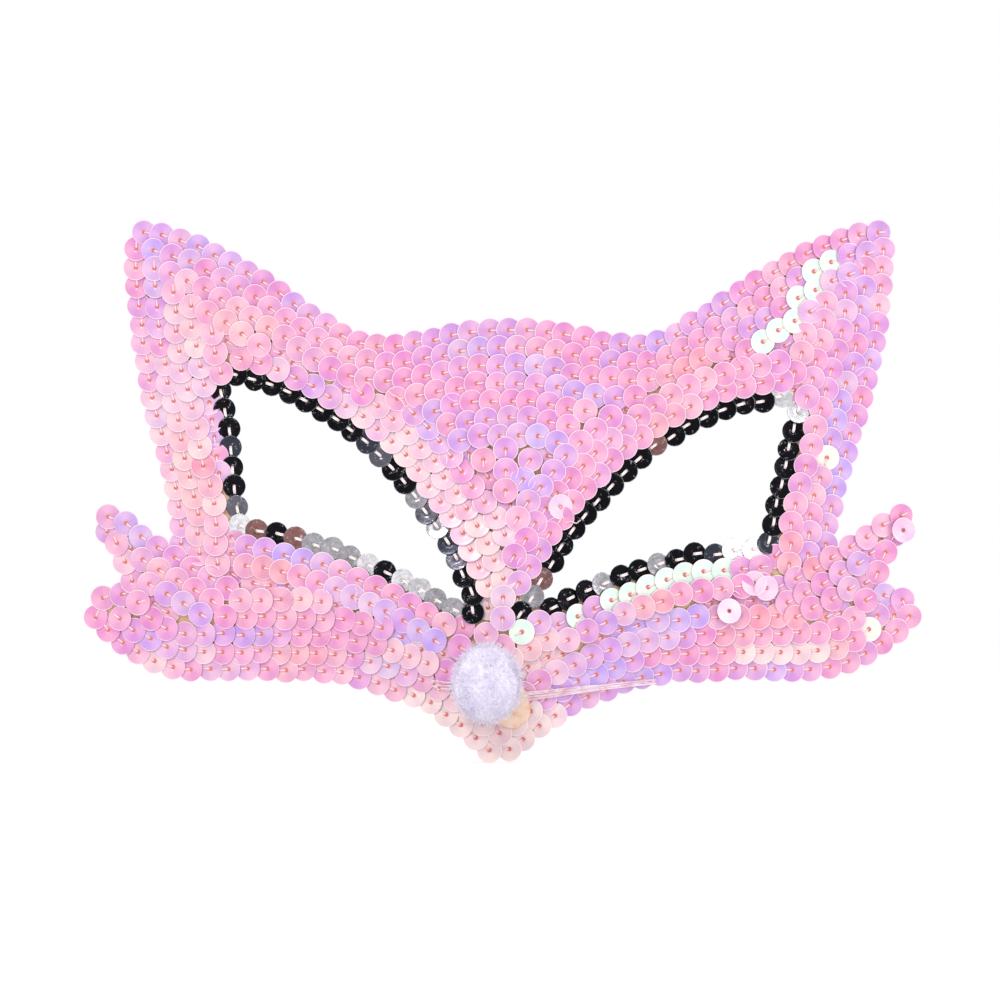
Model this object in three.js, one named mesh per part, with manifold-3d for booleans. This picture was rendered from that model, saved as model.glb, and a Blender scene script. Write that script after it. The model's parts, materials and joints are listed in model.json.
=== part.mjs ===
// A sequinned fox half-mask: a stiff curved base with two large eye openings, a felt lining, strings of
// 6 mm sequins sewn in rows over the whole front, mirror sequins round the eyes, a pompom nose and whiskers.
// Millimetres. +X is the wearer's left, the front faces -Y and +Z is up. The middle of the nose bridge is
// at x = 0, y = 0. Left and right in names are as seen from the front.
import * as THREE from "three";
import { mergeVertices } from "three/addons/utils/BufferGeometryUtils.js";
import Module from "manifold-3d";

// ---- Driving dimensions -------------------------------------------------------------------------
const SEQUIN = 6; // diameter of one sequin
const STITCH = 4.6; // from one sequin's hole to the next along its string
const ROW = 4.3; // from one string to the next
const STRING_WIDTH = 2.6; // the band that stands for a string of sequins
const STRING_THICKNESS = 0.8;
const CLOSEST = 3.75; // how near one string may come to another
const GAP = 0.35; // air between pieces that touch

const BASE_THICKNESS = 1.1; // stiffened base cloth
const LINING_THICKNESS = 0.9; // felt
const WRAP = 16; // how far back the mask bends at 100 mm from its middle
const NOSE_RISE = 8; // how far the nose ridge stands forward
const NOSE_WIDTH = 25;
const BROW = 20; // height at which the nose ridge starts
const LEAN = 0.0225; // the hand-cut mask leans this much to its wearer's left, per millimetre of height

const OVERHANG = 2; // how far the sequins stand out past the base all round
const LINING_INSET = 1; // the lining is cut this much smaller than the base

const POMPOM = { width: 17.5, depth: 14, height: 20.5, x: -3.6, z: -44.6 };
const GLUE = { radius: 3.5, thickness: 0.9 }; // the spot of glue behind the pompom
const WHISKER = { width: 1.9, thickness: 0.7 };
const LOOP = { x: 76.5, z: 8, gap: 6, reach: 6.5, foot: 2.6, width: 7, thickness: 0.9 }; // ribbon loop

// ---- The outline, on its right half, as seen from the front -------------------------------------
// Each stretch is a smooth curve and meets the next at a corner. The left half mirrors it.
const TOP = [[0, 44.7], [5, 44.5], [14, 43.4], [24, 41.3], [32, 40.9], [38, 42.4], [45, 46.8], [55, 53.3],
  [66, 60.1], [76.5, 65.4], [85.5, 68.3], [90, 68.7]];
const SIDE = [[90, 68.7], [94, 65.5], [94.5, 57], [93.7, 48], [92, 35], [88.4, 20.5], [84.8, 6], [83, -1],
  [82, -6], [82, -10]];
const UPPER_SPIKE_TOP = [[82, -10], [88, -5.8], [93, -1.8], [98, -1]];
const UPPER_SPIKE_SIDE = [[98, -1], [100.9, -6], [97.6, -11.6], [95, -17], [94.2, -20.3]];
const LOWER_SPIKE_TOP = [[94.2, -20.3], [99.5, -22], [102.6, -26]];
const BOTTOM = [[102.6, -26], [102, -31], [97, -35.8], [91, -39.8], [84, -43.2], [76, -44.5],
  [62, -44.5], [46, -44.8], [36, -46], [27, -48.9], [19, -52.2], [13, -56.4], [8.5, -60], [5, -63.4],
  [0, -64.4]];

// The stretches of each eye opening, clockwise, with a corner between one and the next.
const LEFT_EYE_TOP = [[-67.2, 27.6], [-57, 24.5], [-43.5, 17.1], [-31.8, 7.9], [-22.6, -3.3],
  [-15.2, -13.7], [-10.4, -24]];
const LEFT_EYE_BOTTOM = [[-10.4, -24], [-20.6, -18.4], [-31.8, -13], [-44.1, -8.4], [-56.5, -5],
  [-62.6, -4.4]];
const LEFT_EYE_SIDE = [[-62.6, -4.4], [-63.4, 5], [-64.8, 17], [-67.2, 27.6]];
const RIGHT_EYE_TOP = [[10.3, -24], [16.1, -14], [23.2, -4.1], [33.1, 6.4], [45, 15.1], [57, 20.2],
  [68, 22.2]];
const RIGHT_EYE_SIDE = [[68, 22.2], [66.4, 13], [64.2, 2.5], [62.6, -9.2]];
const RIGHT_EYE_BOTTOM = [[62.6, -9.2], [53, -9.8], [43, -11.2], [32, -14.8], [20, -19.2], [10.3, -24]];

// ---- Plane geometry -----------------------------------------------------------------------------
const distance = (a, b) => Math.hypot(a[0] - b[0], a[1] - b[1]);

/** A smooth curve through the points, as a line of steps. */
function smooth(points, step = 1) {
  const curve = new THREE.SplineCurve(points.map(([x, z]) => new THREE.Vector2(x, z)));
  const steps = Math.max(2, Math.round(curve.getLength() / step));
  return curve.getSpacedPoints(steps).map((p) => [p.x, p.y]);
}

const mirrored = (line) => line.map(([x, z]) => [-x, z]).reverse();

/** Joins lines that meet end to end. */
function join(...lines) {
  return lines.reduce((whole, line) => [...whole, ...line.slice(1)]);
}

function distanceToSegment([x, z], [ax, az], [bx, bz]) {
  const [dx, dz] = [bx - ax, bz - az];
  const along = ((x - ax) * dx + (z - az) * dz) / (dx * dx + dz * dz || 1);
  const t = Math.min(1, Math.max(0, along));
  return Math.hypot(x - ax - t * dx, z - az - t * dz);
}

function distanceToLine(point, line) {
  let nearest = Infinity;
  for (let i = 1; i < line.length; i++) {
    nearest = Math.min(nearest, distanceToSegment(point, line[i - 1], line[i]));
  }
  return nearest;
}

/** Whether a point is inside a closed line. */
function inside([x, z], line) {
  let crossings = 0;
  line.forEach(([ax, az], i) => {
    const [bx, bz] = line[(i + 1) % line.length];
    if (az > z !== bz > z && x < ax + ((z - az) * (bx - ax)) / (bz - az)) crossings++;
  });
  return crossings % 2 === 1;
}

/** The line that keeps a distance to the right of a line. Where it would fold over itself, it is cut. */
function beside(line, away) {
  const closed = distance(line[0], line.at(-1)) < 0.01;
  const last = line.length - 1;
  const moved = line.map((point, i) => {
    const [ax, az] = line[closed && i === 0 ? last - 1 : Math.max(0, i - 1)];
    const [bx, bz] = line[closed && i === last ? 1 : Math.min(last, i + 1)];
    const length = Math.hypot(bx - ax, bz - az);
    return [point[0] + (away * (bz - az)) / length, point[1] - (away * (bx - ax)) / length];
  });
  return moved.filter((point) => distanceToLine(point, line) > 0.97 * Math.abs(away));
}

/** Places for holes along a line, from its start, at a pitch that is stretched a little to fill it. */
function stitches(line, pitch) {
  const path = new THREE.CurvePath();
  for (let i = 1; i < line.length; i++) {
    path.add(new THREE.LineCurve(new THREE.Vector2(...line[i - 1]), new THREE.Vector2(...line[i])));
  }
  const length = path.getLength();
  const count = Math.floor(length / pitch + 0.1);
  const spacing = Math.min(length / count, 1.08 * pitch);
  const place = (_, i) => path.getPointAt(Math.min(1, (i * spacing) / length)).toArray();
  return Array.from({ length: count + 1 }, place);
}

// ---- The lines that the mask is cut and sewn along ----------------------------------------------
/** The whole outline, clockwise from the middle of the brow and back to it. */
function outlineOf(step) {
  const stretches = [TOP, SIDE, UPPER_SPIKE_TOP, UPPER_SPIKE_SIDE, LOWER_SPIKE_TOP, BOTTOM];
  const half = join(...stretches.map((part) => smooth(part, step)));
  return join(half, mirrored(half));
}

const eyeOf = (stretches, step) => join(...stretches.map((part) => smooth(part, step)));
const LEFT_EYE = [LEFT_EYE_TOP, LEFT_EYE_BOTTOM, LEFT_EYE_SIDE];
const RIGHT_EYE = [RIGHT_EYE_TOP, RIGHT_EYE_SIDE, RIGHT_EYE_BOTTOM];

const outline = outlineOf(1);
const eyes = [eyeOf(LEFT_EYE, 1), eyeOf(RIGHT_EYE, 1)];

// ---- The mask's curved front --------------------------------------------------------------------
/** How far back the front of the base lies at a place on the mask. */
function depth(x, z) {
  const wrap = WRAP * (x / 100) ** 2;
  const below = THREE.MathUtils.smoothstep(BROW - z, 0, 50);
  return wrap - NOSE_RISE * below * Math.exp(-((x / NOSE_WIDTH) ** 2));
}

/** The direction straight out of the front at a place on the mask. */
function outward(x, z) {
  const step = 0.5;
  const slopeX = (depth(x + step, z) - depth(x - step, z)) / (2 * step);
  const slopeZ = (depth(x, z + step) - depth(x, z - step)) / (2 * step);
  return new THREE.Vector3(slopeX, -1, slopeZ).normalize();
}

/** A place this high above the front. */
function above([x, z], height) {
  return new THREE.Vector3(x, depth(x, z), z).addScaledVector(outward(x, z), height);
}

// ---- Solids -------------------------------------------------------------------------------------
const wasm = await Module();
wasm.setup();

function solidFrom(geometry) {
  const bare = new THREE.BufferGeometry();
  bare.setAttribute("position", geometry.getAttribute("position"));
  bare.setIndex(geometry.index);
  const merged = mergeVertices(bare, 1e-4);
  const mesh = new wasm.Mesh({
    numProp: 3,
    vertProperties: merged.getAttribute("position").array,
    triVerts: new Uint32Array(merged.index.array),
  });
  return new wasm.Manifold(mesh);
}

function geometryFrom(solid) {
  const { vertProperties, triVerts, numProp } = solid.getMesh();
  const geometry = new THREE.BufferGeometry();
  geometry.setAttribute("position", new THREE.InterleavedBufferAttribute(
    new THREE.InterleavedBuffer(vertProperties, numProp), 3, 0));
  geometry.setIndex(new THREE.BufferAttribute(triVerts, 1));
  const plain = geometry.toNonIndexed();
  plain.computeVertexNormals();
  return plain;
}

/** A flat outline as a prism that runs right through the mask from front to back. */
function cutter(line) {
  const shape = new THREE.Shape(line.map(([x, z]) => new THREE.Vector2(x, z)));
  const geometry = new THREE.ExtrudeGeometry(shape, { depth: 80, bevelEnabled: false });
  geometry.translate(0, 0, -40);
  geometry.rotateX(Math.PI / 2);
  return solidFrom(geometry);
}

/** A sheet with the mask's curve, its front face set back from the base's front, cut to an outline. */
function curvedSheet(setBack, thickness, edge, holes) {
  const sheet = new THREE.BoxGeometry(216, thickness, 144, 24, 1, 14);
  const places = sheet.getAttribute("position");
  for (let i = 0; i < places.count; i++) {
    const [x, y, z] = [places.getX(i), places.getY(i), places.getZ(i)];
    places.setY(i, y + thickness / 2 + setBack + depth(x, z));
  }
  let solid = solidFrom(sheet).intersect(cutter(edge));
  for (const hole of holes) solid = solid.subtract(cutter(hole));
  return geometryFrom(solid);
}

/** A flat band that follows places on the front of the mask, with one section at each of them. */
function bandAlong(places, width, thickness, height) {
  const last = places.length - 1;
  const sections = places.map((place, i) => {
    const before = above(places[Math.max(0, i - 1)], 0);
    const after = above(places[Math.min(last, i + 1)], 0);
    const out = outward(...place);
    const across = new THREE.Vector3().crossVectors(out, after.sub(before)).normalize();
    return { centre: above(place, height + thickness / 2), out, across };
  });
  const geometry = new THREE.BoxGeometry(width, thickness, last, 1, 1, last);
  const corners = geometry.getAttribute("position");
  for (let i = 0; i < corners.count; i++) {
    const { centre, out, across } = sections[Math.round(corners.getZ(i) + last / 2)];
    const corner = centre.clone();
    corner.addScaledVector(across, corners.getX(i)).addScaledVector(out, corners.getY(i));
    corners.setXYZ(i, ...corner);
  }
  return geometry;
}

// ---- The parts ----------------------------------------------------------------------------------
const group = new THREE.Group();
group.matrixAutoUpdate = false;
group.matrix.set(1, 0, LEAN, 0, 0, 1, 0, 0, 0, 0, 1, 0, 0, 0, 0, 1);

const finish = (color, roughness, metalness = 0) =>
  new THREE.MeshStandardMaterial({ color, roughness, metalness });
const materials = {
  base: finish(0xd9bd9e, 0.9),
  felt: finish(0xf2e9e6, 0.95),
  pink: finish(0xf7a8d2, 0.25, 0.2),
  mirror: finish(0x1c1c20, 0.1, 1),
  fluff: finish(0xfbf6fb, 1),
  glue: finish(0xf0c9a0, 0.3),
  whisker: finish(0xf6e2ee, 0.15),
  ribbon: finish(0xf3c5dc, 0.7),
};

function addPart(name, geometry, material) {
  const mesh = new THREE.Mesh(geometry, material);
  mesh.name = name;
  group.add(mesh);
  return mesh;
}

// The base and its lining.
const CUT_STEP = 3.2; // length of the straight steps that the sheets are cut in
function addSheet(name, inset, setBack, thickness, material) {
  const edge = beside(outlineOf(CUT_STEP), inset);
  const holes = [LEFT_EYE, RIGHT_EYE].map((eye) => beside(eyeOf(eye, CUT_STEP), -inset));
  addPart(name, curvedSheet(setBack, thickness, edge, holes), material);
}
addSheet("base_shell", OVERHANG, 0, BASE_THICKNESS, materials.base);
addSheet("felt_lining", OVERHANG + LINING_INSET, BASE_THICKNESS + GAP, LINING_THICKNESS, materials.felt);

// The strings of sequins. A string is sewn beside an edge, and stops where it would crowd an earlier one.
const sewn = [];

function fits(place) {
  const onMask = inside(place, outline) && distanceToLine(place, outline) > SEQUIN / 2 - 0.6;
  const offEyes = eyes.every((eye) => !inside(place, eye) && distanceToLine(place, eye) > SEQUIN / 2 - 0.6);
  return onMask && offEyes && sewn.every((line) => distanceToLine(place, line) > CLOSEST);
}

/** The longest unbroken stretch of a line that fits. */
function longestRun(line) {
  let best = [];
  let run = [];
  for (const place of line) {
    run = fits(place) ? [...run, place] : [];
    if (run.length > best.length) best = run;
  }
  return best;
}

function sew(name, line, material = materials.pink) {
  const run = longestRun(line);
  const places = run.length > 1 ? stitches(run, STITCH) : [];
  if (places.length < 2) throw new Error(`${name} has no room`);
  sewn.push(run);
  addPart(name, bandAlong(places, STRING_WIDTH, STRING_THICKNESS, GAP), material);
}

/** How far in from an edge the holes of a string are. The string nearest the edge is row 0. */
const inRow = (k) => SEQUIN / 2 + k * ROW;

// Mirror strings round the eyes. The upper ones run on past the nose end of the opening.
const leftUpperTrim = [...beside(smooth(LEFT_EYE_TOP), -inRow(0)), [-6.9, -27.6]];
const rightUpperTrim = [[4.6, -27.6], ...beside(smooth(RIGHT_EYE_TOP), -inRow(0))];
const leftLowerTrim = beside(join(smooth(LEFT_EYE_BOTTOM), smooth(LEFT_EYE_SIDE)), -inRow(0));
const rightLowerTrim = beside(join(smooth(RIGHT_EYE_SIDE), smooth(RIGHT_EYE_BOTTOM)), -inRow(0));
sew("left_eye_upper_trim", leftUpperTrim, materials.mirror);
sew("right_eye_upper_trim", rightUpperTrim, materials.mirror);
sew("left_eye_lower_trim", leftLowerTrim, materials.mirror);
sew("right_eye_lower_trim", rightLowerTrim, materials.mirror);

// Pearl strings. Those along the sides and into the upper spikes run a little way on across the cheeks.
const top = smooth(TOP);
const side = smooth([...SIDE, [81, -18]]);
const bottom = join(smooth(LOWER_SPIKE_TOP), smooth(BOTTOM));
const cheek = smooth([[66, -19], ...UPPER_SPIKE_TOP]);

function sewBothSides(name, edge, k) {
  sew(`left_${name}`, beside(mirrored(edge), inRow(k)));
  sew(`right_${name}`, beside(edge, inRow(k)));
}

function sewByEyes(name, leftEdge, rightEdge, k) {
  sew(`left_${name}`, beside(smooth(leftEdge), -inRow(k)));
  sew(`right_${name}`, beside(smooth(rightEdge), -inRow(k)));
}

for (const k of [0, 1, 2, 3]) {
  if (k === 1 || k === 3) {
    sewByEyes(`upper_eye_string_${(k + 1) / 2}`, LEFT_EYE_TOP, RIGHT_EYE_TOP, (k + 1) / 2);
    sewByEyes(`lower_eye_string_${(k + 1) / 2}`, LEFT_EYE_BOTTOM, RIGHT_EYE_BOTTOM, (k + 1) / 2);
  }
  sew(`brow_string_${k + 1}`, beside(join(mirrored(top), top), inRow(k)));
  if (k < 3) sewBothSides(`cheek_string_${k + 1}`, cheek, k);
  sewBothSides(`side_string_${k + 1}`, side, k);
  if (k < 3) sew(`chin_string_${k + 1}`, beside(join(bottom, mirrored(bottom)), inRow(k)));
  else sewBothSides(`chin_string_${k + 1}`, bottom, k);
  if (k === 0) sewBothSides("spike_string", smooth(UPPER_SPIKE_SIDE), 0);
}
sewByEyes("upper_eye_string_3", LEFT_EYE_TOP, RIGHT_EYE_TOP, 3);
for (const k of [4, 5, 6]) sew(`brow_string_${k + 1}`, beside(join(mirrored(top), top), inRow(k)));
for (const k of [4, 5]) sewBothSides(`chin_string_${k + 1}`, bottom, k);
sewBothSides("ear_string", top, 3);
sewBothSides("side_string_5", side, 4);
const bridge = smooth([[0, 20], [0, -34]]);
sew("upper_bridge_string", bridge);
sew("lower_bridge_string", bridge);

// The pompom stands on its glue, with the whiskers' ends tucked in behind it.
const STRINGS_TOP = GAP + STRING_THICKNESS;
const nose = [POMPOM.x, POMPOM.z];
const glue = addPart("pompom_glue",
  new THREE.CylinderGeometry(GLUE.radius, GLUE.radius, GLUE.thickness, 16), materials.glue);
glue.position.copy(above(nose, STRINGS_TOP + GAP + GLUE.thickness / 2));
const pompom = addPart("nose_pompom", new THREE.SphereGeometry(0.5, 20, 14), materials.fluff);
pompom.scale.set(POMPOM.width, POMPOM.depth, POMPOM.height);
pompom.position.copy(above(nose, STRINGS_TOP + 2 * GAP + GLUE.thickness + POMPOM.depth / 2));

const addWhisker = (name, line) => addPart(name,
  bandAlong(stitches(line, 5), WHISKER.width, WHISKER.thickness, STRINGS_TOP + GAP), materials.whisker);
addWhisker("right_whisker", [[1.8, -48.3], [37.6, -44.3]]);
addWhisker("left_whisker", [[-16.6, -45.4], [-8.6, -45.2]]);

// A ribbon loop behind each temple, for a head band to tie to. It opens upwards and downwards.
function loopGeometry() {
  const { gap, reach, foot, width, thickness } = LOOP;
  const [inner, outer] = [gap / 2, gap / 2 + thickness];
  const profile = new THREE.Shape([[-outer - foot, 0], [-inner, 0], [-inner, reach - thickness],
    [inner, reach - thickness], [inner, 0], [outer + foot, 0], [outer + foot, thickness],
    [outer, thickness], [outer, reach], [-outer, reach], [-outer, thickness],
    [-outer - foot, thickness]].map(([x, y]) => new THREE.Vector2(x, y)));
  const geometry = new THREE.ExtrudeGeometry(profile, { depth: width, bevelEnabled: false });
  return geometry.translate(0, 0, -width / 2);
}
for (const [name, x] of [["left", -LOOP.x], ["right", LOOP.x]]) {
  const loop = addPart(name + "_ribbon_loop", loopGeometry(), materials.ribbon);
  const out = outward(x, LOOP.z);
  loop.position.copy(above([x, LOOP.z], -(BASE_THICKNESS + LINING_THICKNESS + 2 * GAP + 0.1)));
  loop.rotation.z = Math.atan2(out.x, -out.y);
}

export default group;
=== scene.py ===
"""A fox half-mask covered in sewn sequins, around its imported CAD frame. Metres, +Z up, the front faces -Y.
Left and right are as seen from the front. Lengths inside the pieces are in millimetres, scaled by MM."""

import json
import math
from collections import namedtuple

import bmesh
import bpy
import numpy as np
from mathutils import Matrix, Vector
from mathutils.bvhtree import BVHTree

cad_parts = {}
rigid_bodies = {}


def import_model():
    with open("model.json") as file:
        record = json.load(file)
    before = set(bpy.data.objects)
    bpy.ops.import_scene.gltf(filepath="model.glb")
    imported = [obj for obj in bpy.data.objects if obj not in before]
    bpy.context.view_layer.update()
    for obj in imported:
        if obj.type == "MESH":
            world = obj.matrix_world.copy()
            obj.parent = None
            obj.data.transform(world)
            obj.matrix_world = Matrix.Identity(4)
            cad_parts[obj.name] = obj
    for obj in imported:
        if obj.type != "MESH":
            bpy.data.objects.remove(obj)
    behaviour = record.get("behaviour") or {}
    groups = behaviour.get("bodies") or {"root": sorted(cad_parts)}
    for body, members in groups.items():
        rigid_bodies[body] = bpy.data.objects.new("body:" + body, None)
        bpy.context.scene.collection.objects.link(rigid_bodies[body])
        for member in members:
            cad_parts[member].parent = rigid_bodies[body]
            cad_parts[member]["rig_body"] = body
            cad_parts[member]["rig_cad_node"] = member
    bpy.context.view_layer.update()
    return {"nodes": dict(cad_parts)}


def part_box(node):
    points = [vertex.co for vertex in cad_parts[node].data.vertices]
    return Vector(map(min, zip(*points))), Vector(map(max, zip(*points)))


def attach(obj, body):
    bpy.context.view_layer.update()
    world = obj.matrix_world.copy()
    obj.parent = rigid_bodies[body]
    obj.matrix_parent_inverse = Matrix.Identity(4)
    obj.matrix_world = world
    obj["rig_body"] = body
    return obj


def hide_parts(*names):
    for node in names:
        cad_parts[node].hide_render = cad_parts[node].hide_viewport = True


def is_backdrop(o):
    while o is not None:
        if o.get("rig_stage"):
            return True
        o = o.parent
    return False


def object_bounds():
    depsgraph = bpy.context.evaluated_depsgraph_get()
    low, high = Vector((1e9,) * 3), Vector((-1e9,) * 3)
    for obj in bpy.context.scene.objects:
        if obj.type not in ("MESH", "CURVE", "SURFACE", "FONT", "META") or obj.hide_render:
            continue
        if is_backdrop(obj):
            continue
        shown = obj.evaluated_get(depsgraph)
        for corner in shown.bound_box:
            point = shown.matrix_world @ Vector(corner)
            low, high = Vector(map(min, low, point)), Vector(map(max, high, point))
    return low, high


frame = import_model()

MM = 0.001
rng = np.random.default_rng(11)

# ---- Camera and light ----------------------------------------------------------------------------
VIEW_WIDTH = 0.245  # what the picture shows across, at the mask
CAMERA_DISTANCE = 4.0
VIEW_CENTRE_X = -0.0012
SENSOR = 36

scene = bpy.context.scene
camera = bpy.data.objects.new("camera", bpy.data.cameras.new("camera"))
scene.collection.objects.link(camera)
scene.camera = camera
camera.location = (VIEW_CENTRE_X, -CAMERA_DISTANCE, 0)
camera.rotation_euler = (math.pi / 2, 0, 0)
camera.data.sensor_width = SENSOR
camera.data.lens = SENSOR * CAMERA_DISTANCE / VIEW_WIDTH
camera.data.clip_end = 100

world = bpy.data.worlds.new("studio")
scene.world = world
world.use_nodes = True
world.node_tree.nodes["Background"].inputs["Color"].default_value = (1, 1, 1, 1)
world.node_tree.nodes["Background"].inputs["Strength"].default_value = 1.0
scene.view_settings.view_transform = "Standard"


def add_light(name, place, size, power):
    """A round soft light that points at the mask."""
    light = bpy.data.lights.new(name, "AREA")
    light.shape = "DISK"
    light.size = size
    light.energy = power
    lamp = bpy.data.objects.new(name, light)
    scene.collection.objects.link(lamp)
    lamp.location = place
    lamp.rotation_euler = (-Vector(place)).to_track_quat("-Z", "Y").to_euler()


add_light("key_light", (-0.5, -0.9, 0.9), 0.35, 5)
add_light("side_light", (0.9, -0.6, 0.3), 0.3, 2)
add_light("back_light", (0.4, 1.0, 0.6), 0.5, 2.5)


# ---- Shader helpers ------------------------------------------------------------------------------
def linear(red, green, blue):
    """A colour given as 0 to 255 on a screen, as the shader wants it."""
    values = [c / 255 for c in (red, green, blue)]
    return tuple(c / 12.92 if c < 0.04045 else ((c + 0.055) / 1.055) ** 2.4 for c in values)


class Shader:
    """A material with short ways to add nodes to it."""

    def __init__(self, name, **settings):
        self.material = bpy.data.materials.new(name)
        self.material.use_nodes = True
        self.tree = self.material.node_tree
        self.surface = self.tree.nodes["Principled BSDF"]
        for socket, value in settings.items():
            self.surface.inputs[socket.replace("_", " ").title().replace("Ior", "IOR")].default_value = value

    def node(self, kind, settings=None, **inputs):
        """A node with its inputs fed. i0, i1 and i2 are inputs by number."""
        made = self.tree.nodes.new("ShaderNode" + kind)
        for key, value in (settings or {}).items():
            setattr(made, key, value)
        for key, value in inputs.items():
            numbered = key[0] == "i" and key[1:].isdigit()
            self.feed(made.inputs[int(key[1:]) if numbered else key], value)
        return made

    def feed(self, socket, value):
        if isinstance(value, bpy.types.NodeSocket):
            self.tree.links.new(value, socket)
        elif isinstance(value, tuple) and len(value) == 3 and socket.type == "RGBA":
            socket.default_value = (*value, 1)
        else:
            socket.default_value = value

    def math(self, operation, a, b=0.0, c=0.0):
        return self.node("Math", {"operation": operation}, i0=a, i1=b, i2=c).outputs[0]

    def step(self, value, low, high):
        """0 below low, 1 above high and smooth between. Turned round if low is above high."""
        ranged = self.node("MapRange", {"interpolation_type": "SMOOTHSTEP"}, Value=value)
        lows, outs = ((low, high), (0.0, 1.0)) if low < high else ((high, low), (1.0, 0.0))
        for name, number in zip(("From Min", "From Max", "To Min", "To Max"), (*lows, *outs)):
            ranged.inputs[name].default_value = number
        return ranged.outputs[0]

    def mix(self, share, a, b, blend="MIX"):
        """Colour a turned into b by share, or a blended with b."""
        made = self.node("Mix", {"data_type": "RGBA", "blend_type": blend})
        for name, kind, value in (("Factor", "VALUE", share), ("A", "RGBA", a), ("B", "RGBA", b)):
            self.feed(next(s for s in made.inputs if (s.name, s.type) == (name, kind)), value)
        return next(s for s in made.outputs if s.type == "RGBA")

    def grey(self, value):
        return self.node("CombineColor", Red=value, Green=value, Blue=value).outputs[0]

    def split(self, vector):
        """The three parts of a vector."""
        return self.node("SeparateXYZ", Vector=vector).outputs

    def noise(self, scale, detail=2.0, distortion=0.0, roughness=0.5, vector=None):
        made = self.node("TexNoise", Scale=scale, Detail=detail, Distortion=distortion, Roughness=roughness)
        self.feed(made.inputs["Vector"], self.place() if vector is None else vector)
        return made.outputs["Fac"]

    def place(self):
        return self.node("TexCoord").outputs["Object"]

    def bump(self, height, strength, distance):
        made = self.node("Bump", Height=height, Strength=strength, Distance=distance)
        self.feed(self.surface.inputs["Normal"], made.outputs[0])

    def colour(self, value):
        self.feed(self.surface.inputs["Base Color"], value)


# ---- Materials -----------------------------------------------------------------------------------
# Painted light on the pearl sequins: a pale painted highlight along each rim, and reddish painted shade in
# and round each hole.
RIM_HIGHLIGHT = linear(255, 232, 240)
HOLE_SHADE = linear(226, 140, 132)


def sequin_parts(shader):
    """What every sequin's material reads: its own colour, the distance from its hole as a share of its
    radius, the direction round the hole, and a number of its own."""
    own = shader.node("Attribute", {"attribute_name": "sequin_place"}).outputs["Vector"]
    x, y, number = shader.split(own)
    squares = shader.math("MULTIPLY", x, x), shader.math("MULTIPLY", y, y)
    radius = shader.math("SQRT", shader.math("ADD", *squares))
    angle = shader.math("ARCTAN2", y, x)
    tint = shader.node("Attribute", {"attribute_name": "sequin_tint"}).outputs["Color"]
    return own, tint, radius, angle, number


def pearl_material():
    """Pearly plastic: a painted two-way sheen round the hole, fine turning lines, a painted highlight on the
    rim and painted shade in and round the hole.
    """
    shader = Shader("pearl_sequin", roughness=0.3, coat_weight=0.25, coat_roughness=0.12)
    own, tint, radius, angle, number = sequin_parts(shader)
    turned = shader.math("ADD", angle, shader.math("MULTIPLY", number, 2.4))
    # Painted sheen: each sequin is painted lighter and warmer on two opposite sides of its hole and cooler on
    # the other two, for how light falls on it.
    sheen = shader.math("MULTIPLY_ADD", shader.math("SINE", shader.math("MULTIPLY", turned, 2.0)), 0.5, 0.5)
    cool = shader.mix(1.0, tint, linear(240, 232, 255), "MULTIPLY")
    warm = shader.mix(0.22, tint, linear(250, 214, 232))
    colour = shader.mix(shader.math("MULTIPLY", sheen, 0.7), cool, warm)
    swirl = shader.noise(3.0, 3.0, 1.2, vector=own)
    ripple = shader.math("MULTIPLY", swirl, 9.0)
    lines = shader.math("SINE", shader.math("MULTIPLY_ADD", radius, 42.0, ripple))
    grain = shader.math("MULTIPLY_ADD", lines, 0.035, shader.math("MULTIPLY_ADD", swirl, 0.12, 0.93))
    colour = shader.mix(1.0, colour, shader.grey(grain), "MULTIPLY")
    # Painted shade: a faint reddish shade round the hole, and a full one in it.
    shade_round_hole = shader.math("MULTIPLY", shader.step(radius, 0.36, 0.16), 0.16)
    colour = shader.mix(shade_round_hole, colour, HOLE_SHADE)
    colour = shader.mix(shader.step(radius, 0.205, 0.17), colour, HOLE_SHADE)
    # Painted highlight: a pale line along the rim.
    rim = shader.math("MULTIPLY", shader.step(radius, 0.915, 0.96), 0.75)
    colour = shader.mix(rim, colour, RIM_HIGHLIGHT)
    shader.colour(colour)
    shader.bump(lines, 0.08, 0.04 * MM)
    return shader.material


def mirror_material():
    """Mirror foil: brushed, with a few painted glints and painted highlights in patches along the rim."""
    shader = Shader("mirror_sequin", metallic=1.0, roughness=0.22)
    own, tint, radius, _, number = sequin_parts(shader)
    shift = shader.node("CombineXYZ", X=shader.math("MULTIPLY", number, 37.0)).outputs[0]
    shifted = shader.node("VectorMath", {"operation": "ADD"}, i0=own, i1=shift).outputs[0]
    foil = shader.noise(2.4, 4.0, 0.8, vector=shifted)
    glint_and_bump_noise = shader.noise(9.0, 3.0, vector=shifted)
    # Painted glints where both noises are high, and painted highlights in patches along the rim.
    glint = shader.math("MULTIPLY", shader.step(foil, 0.59, 0.66), shader.step(glint_and_bump_noise, 0.5, 0.6))
    rim = shader.math("MULTIPLY", shader.step(radius, 0.925, 0.97), shader.step(glint_and_bump_noise, 0.36, 0.6))
    painted_glints = shader.math("MAXIMUM", shader.math("MULTIPLY", glint, 0.6), shader.math("MULTIPLY", rim, 0.55))
    brushed = shader.grey(shader.math("MULTIPLY_ADD", foil, 1.3, 0.35))
    # The painted glints and rim highlights are mixed towards pale grey.
    shader.colour(shader.mix(painted_glints, shader.mix(1.0, tint, brushed, "MULTIPLY"), linear(214, 216, 226)))
    shader.bump(shader.math("MULTIPLY_ADD", glint_and_bump_noise, 0.1, foil), 0.25, 0.2 * MM)
    return shader.material


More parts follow.
